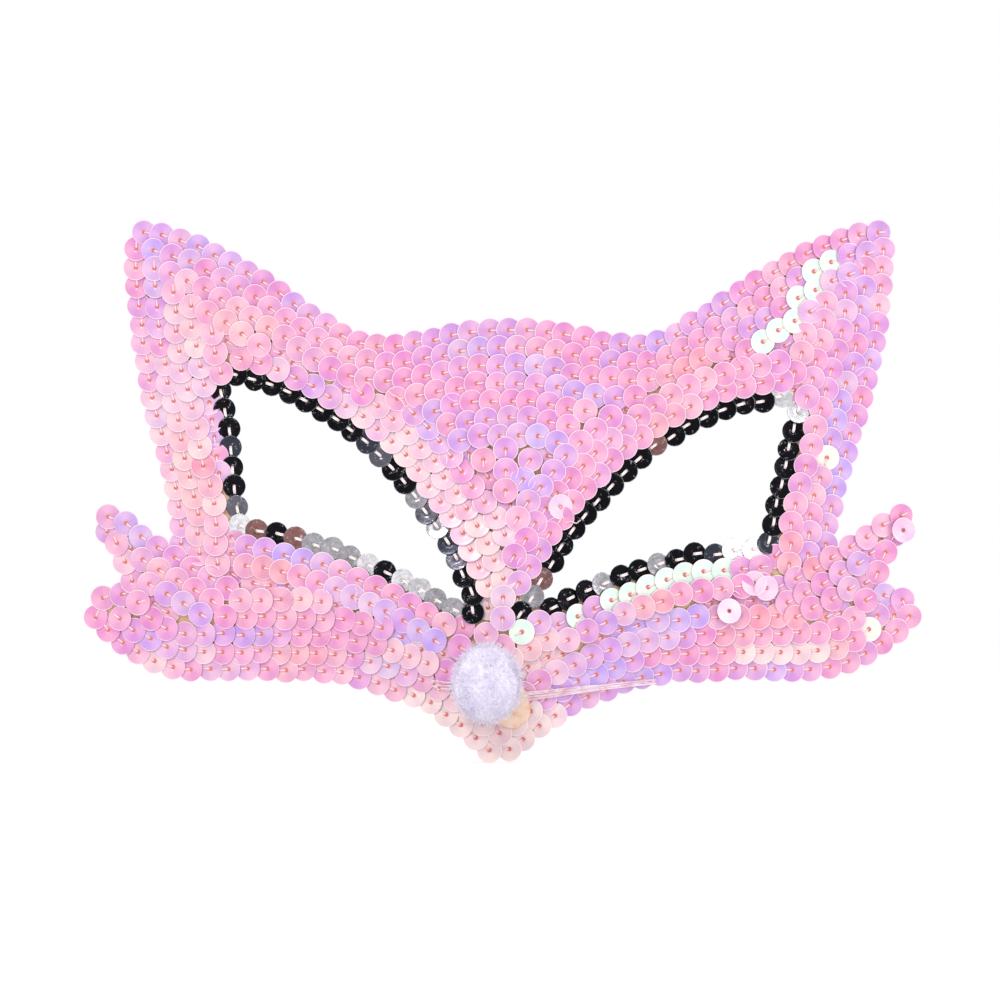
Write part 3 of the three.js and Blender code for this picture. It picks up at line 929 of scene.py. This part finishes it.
def on_front(x, z):
    """The place on top of the sequins at x and z, in mm, and the way that the mask faces there."""
    hit, normal, _, _ = cloth_tree.ray_cast((x * MM, -0.2, z * MM), (0, 1, 0))
    if hit is None:
        hit, normal = cloth_tree.find_nearest((x * MM, -0.02, z * MM))[0], Vector((0, -1, 0))
    normal = unit(np.array(normal))
    return np.array((x, hit.y / MM, z)) + normal * STACK, normal


# ---- Glue ----------------------------------------------------------------------------------------
GLUE_REACH = 4.4  # how far the blob spreads round its middle
GLUE_RUN = 9.6  # and how much further where it has run out
GLUE_RIM = 0.35  # height of its rim over the sequins
GLUE_CROWN = 0.95  # and of its middle over the rim
GLUE_UNDER = 0.3  # how far its underside lies below the rim


def glue_spot():
    """A blob that has run out from behind the pompom, down and to the right, over the sequins."""
    low, high = (np.array(corner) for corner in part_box("pompom_glue"))
    centre = (low + high) / 2
    blob = bmesh.new()
    bmesh.ops.create_icosphere(blob, subdivisions=6, radius=1)
    points = []
    for vertex in blob.verts:
        x, y, z = vertex.co
        turn = math.atan2(z, x)
        waves = 0.5 * math.sin(3 * turn + 1) + 0.3 * math.sin(5 * turn) + 0.12 * math.sin(17 * turn)
        run = max(0.0, x * 0.7 - z * 0.71)
        reach = GLUE_REACH + waves + GLUE_RUN * run**3
        place = centre / MM + np.array([x * reach, 0, z * reach])
        top, out = on_front(place[0], place[2])
        lumps = 0.14 * math.sin(place[0] * 1.9) * math.sin(place[2] * 1.6 + 1)
        height = GLUE_RIM + (GLUE_CROWN + lumps) * max(0.0, -y) - GLUE_UNDER * max(0.0, y)
        points.append((top + out * height) * MM)
    made = Solid()
    made.add(points, [tuple(v.index for v in face.verts) for face in blob.faces])
    blob.free()
    finish_piece(made.build("glue_blob", [GLUE]), "glue", "pompom_glue")


glue_spot()


# ---- Whiskers ------------------------------------------------------------------------------------
WHISKER_STEPS = 14
WHISKER_THICKNESS = 0.22


def whisker(node, name, travel, strands):
    """Flat clear strands side by side. Each is given by its start and end across the bundle in mm, the
    share of the whisker where it ends, and its width."""
    centres, outs, _ = stations_of(node, travel)
    line, outs = resampled(centres, WHISKER_STEPS), resampled(centres, WHISKER_STEPS, outs)
    along = unit(line[-1] - line[0])
    across = np.cross(outs[0], along)
    made = Solid()
    for start, end, share, width in strands:
        count = round(WHISKER_STEPS * share)
        shares = np.linspace(0, 1, count)
        offsets = start + (end - start) * shares + 0.12 * np.sin(shares * 7 + start * 9)
        path = [line[i] + (across * offsets[i] + outs[i] * 0.12 * math.sin(i + start * 5)) * MM
                for i in range(count)]
        widths = [width * MM * (1.1 - 0.35 * s) for s in shares]
        points, faces = sweep(path, widths, [WHISKER_THICKNESS * MM] * count, outs[0])
        made.add(points, faces)
    finish_piece(made.build(name, [CLEAR]), "clear_whisker", node)


whisker("right_whisker", "right_whisker_strands", (1, 0),
        [(-1.0, -0.45, 1.0, 0.55), (-0.35, -0.1, 1.0, 0.5), (0.3, 0.3, 0.97, 0.55), (0.95, 0.5, 0.62, 0.5)])
whisker("left_whisker", "left_whisker_strands", (-1, 0),
        [(-0.7, -1.1, 1.0, 0.4), (0.0, 0.1, 0.9, 0.45), (0.7, 1.0, 0.75, 0.4)])


# ---- Loose sequins and threads -------------------------------------------------------------------
# Sequins that have come loose and lie askew: place in mm, how far they stand off, how they are tipped
# across and up, and colour.
LOOSE_SEQUINS = [
    (54.6, -27.2, 0.6, 0.1, 0.05, linear(240, 222, 234)),
    (60.8, -20.4, 0.3, -0.08, 0.1, linear(240, 208, 216)),
    (63.7, -21.6, 0.5, 0.1, -0.06, linear(238, 202, 214)),
    (97.4, -7.4, 0.4, 0.1, 0.06, linear(236, 194, 210)),
    (13.4, -2.0, 0.1, 0.16, -0.2, linear(230, 206, 216)),
]
LOOSE_ALONG = np.array((1.0, 0, 0.2))  # the way that they point
# Loose ends of thread: places in mm, from one end to the other.
LOOSE_THREADS = [
    [(-28.4, 26.8), (-27.6, 25.9), (-26.4, 25.4), (-25.0, 24.2), (-24.2, 22.7)],
    [(53.0, -22.4), (53.9, -21.9), (54.9, -22.6), (56.2, -22.3), (57.2, -23.2)],
    [(-36.2, -21.4), (-35.6, -22.6), (-36.4, -23.8), (-35.9, -25.2)],
    [(14.4, -5.8), (15.8, -5.4), (17.1, -6.0), (18.2, -5.2)],
    [(-3.4, -52.6), (-2.4, -54.0), (-1.4, -54.6), (-0.6, -56.0)],
]
LOOSE_STEPS = 14
LOOSE_WIDTH = 0.26
LOOSE_THICKNESS = 0.24


def loose_bits():
    """The loose sequins and ends of thread, lying on the sewn sequins."""
    made = Solid()
    for x, z, lift, tip, pitch, tint in LOOSE_SEQUINS:
        top, out = on_front(x, z)
        facing = unit(out + np.array((tip, 0, pitch)))
        along = unit(LOOSE_ALONG - facing * (facing @ LOOSE_ALONG))
        add_sequin(made, (top + out * lift) * MM, facing, along, tint, cup=0.15, dent=0.08)
    for number, route in enumerate(LOOSE_THREADS):
        line = []
        for step, (x, z) in enumerate(route):
            top, out = on_front(x, z)
            line.append((top + out * (0.35 + 0.25 * math.sin(step * 1.7 + number))) * MM)
        line = resampled(np.array(line), LOOSE_STEPS)
        widths, thicknesses = [LOOSE_WIDTH * MM] * len(line), [LOOSE_THICKNESS * MM] * len(line)
        points, faces = sweep(line, widths, thicknesses, np.array([0, -1.0, 0]))
        made.add(points, faces, 1)
    finish_piece(made.build("loose_sequins", [PEARL, PINK_THREAD]), "pearl_sequin")


loose_bits()


# ---- Stitches round the lining -------------------------------------------------------------------
RUNNING_PITCH = 5.0
RUNNING_LENGTH = 3.0
RUNNING_INSET = 2.4  # from the lining's edge
RUNNING_RISE = (-0.35, 0.12, 0.2, 0.2, 0.12, -0.35)  # height of the thread over the felt, along a stitch
RUNNING_WIDTH = 0.5
RUNNING_THICKNESS = 0.4
RUNNING_STEP = 0.5  # how finely the edge is followed
SHORTEST_EDGE = 40  # anything shorter isn't an edge of the lining
BEHIND = (0, 30, 0)  # from behind the mask, looking for the felt


def edges_of_back(node):
    """The closed lines, in mm, where a CAD sheet's back face ends."""
    made = bmesh.new()
    made.from_mesh(frame["nodes"][node].data)
    bmesh.ops.remove_doubles(made, verts=made.verts, dist=1e-6)
    back = dict.fromkeys(face for face in made.faces if face.normal.y > 0.5)  # in the mesh's own order
    onward = {}
    for face in back:
        for loop in face.loops:
            if not any(other in back for other in loop.edge.link_faces if other is not face):
                onward[tuple(loop.vert.co)] = tuple(loop.link_loop_next.vert.co)
    made.free()
    lines = []
    while onward:
        start, place = onward.popitem()
        line = [start]
        while place in onward:
            line.append(place)
            place = onward.pop(place)
        lines.append(np.array(line + [start]) / MM)
    return lines


def stitch_path(felt, places):
    """A stitch's line over the felt at these places, or None where one of them misses it."""
    path = []
    for place, rise in zip(places, RUNNING_RISE):
        hit, normal, _, _ = felt.ray_cast(tuple((place + BEHIND) * MM), (0, -1, 0))
        if hit is None:
            return None
        path.append(np.array(hit) + np.array(normal) * rise * MM)
    return path


def lining_stitches():
    """Running stitches just inside every edge of the felt. Inside is the side where they all meet felt."""
    felt = BVHTree.FromObject(lining, bpy.context.evaluated_depsgraph_get())
    widths = [RUNNING_WIDTH * MM] * len(RUNNING_RISE)
    thicknesses = [RUNNING_THICKNESS * MM] * len(RUNNING_RISE)
    made = Solid()
    for line in sorted(edges_of_back("felt_lining"), key=len):
        length = np.linalg.norm(np.diff(line, axis=0), axis=1).sum()
        if length < SHORTEST_EDGE:
            continue
        fine = resampled(line, int(length / RUNNING_STEP))
        tangents = np.gradient(fine, axis=0)
        sides = np.array([unit(np.array((t[2], 0, -t[0]))) for t in tangents])
        step = int(RUNNING_PITCH / RUNNING_STEP)
        for first in range(step // 2, len(fine) - step, step):
            last = first + RUNNING_LENGTH / RUNNING_STEP
            picks = np.linspace(first, last, len(RUNNING_RISE)).round().astype(int)
            for inset in (RUNNING_INSET, -RUNNING_INSET):
                path = stitch_path(felt, fine[picks] + inset * sides[picks])
                if path:
                    made.add(*sweep(path, widths, thicknesses, np.array([0, 1.0, 0])))
                    break
    finish_piece(made.build("lining_stitches", [WHITE_THREAD]), "felt")


lining_stitches()


# ---- Ribbon loops --------------------------------------------------------------------------------
FOLD_RADIUS = 0.3


def ribbon_loop(side):
    """The ribbon keeps its CAD shape, with its folds rounded."""
    node = side + "_ribbon_loop"
    piece = copy_of(node, side + "_ribbon")
    made = bmesh.new()
    made.from_mesh(piece.data)
    bmesh.ops.remove_doubles(made, verts=made.verts, dist=1e-6)
    bmesh.ops.dissolve_limit(made, angle_limit=0.02, verts=made.verts, edges=made.edges)
    made.to_mesh(piece.data)
    made.free()
    bevel = piece.modifiers.new("folds", "BEVEL")
    bevel.width, bevel.segments, bevel.limit_method = FOLD_RADIUS * MM, 4, "ANGLE"
    apply_modifiers(piece, RIBBON)
    for polygon in piece.data.polygons:
        polygon.use_smooth = False
    finish_piece(piece, "ribbon", node)


for side in ("left", "right"):
    ribbon_loop(side)


# ---- Floor ---------------------------------------------------------------------------------------
FLOOR_REACH = 3


def paper_material():
    shader = Shader("paper", roughness=0.9, specular_ior_level=0.1)
    shader.colour(shader.mix(shader.noise(40.0), linear(254, 254, 254), linear(255, 255, 255)))
    return shader.material


def floor():
    """White paper just under the mask's lowest point."""
    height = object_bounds()[0].z
    ways = ((-1, -1), (1, -1), (1, 1), (-1, 1))
    mesh = bpy.data.meshes.new("floor")
    mesh.from_pydata([(x * FLOOR_REACH, y * FLOOR_REACH, height) for x, y in ways], [], [(0, 1, 2, 3)])
    mesh.materials.append(paper_material())
    sheet = bpy.data.objects.new("floor", mesh)
    scene.collection.objects.link(sheet)
    sheet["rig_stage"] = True


floor()
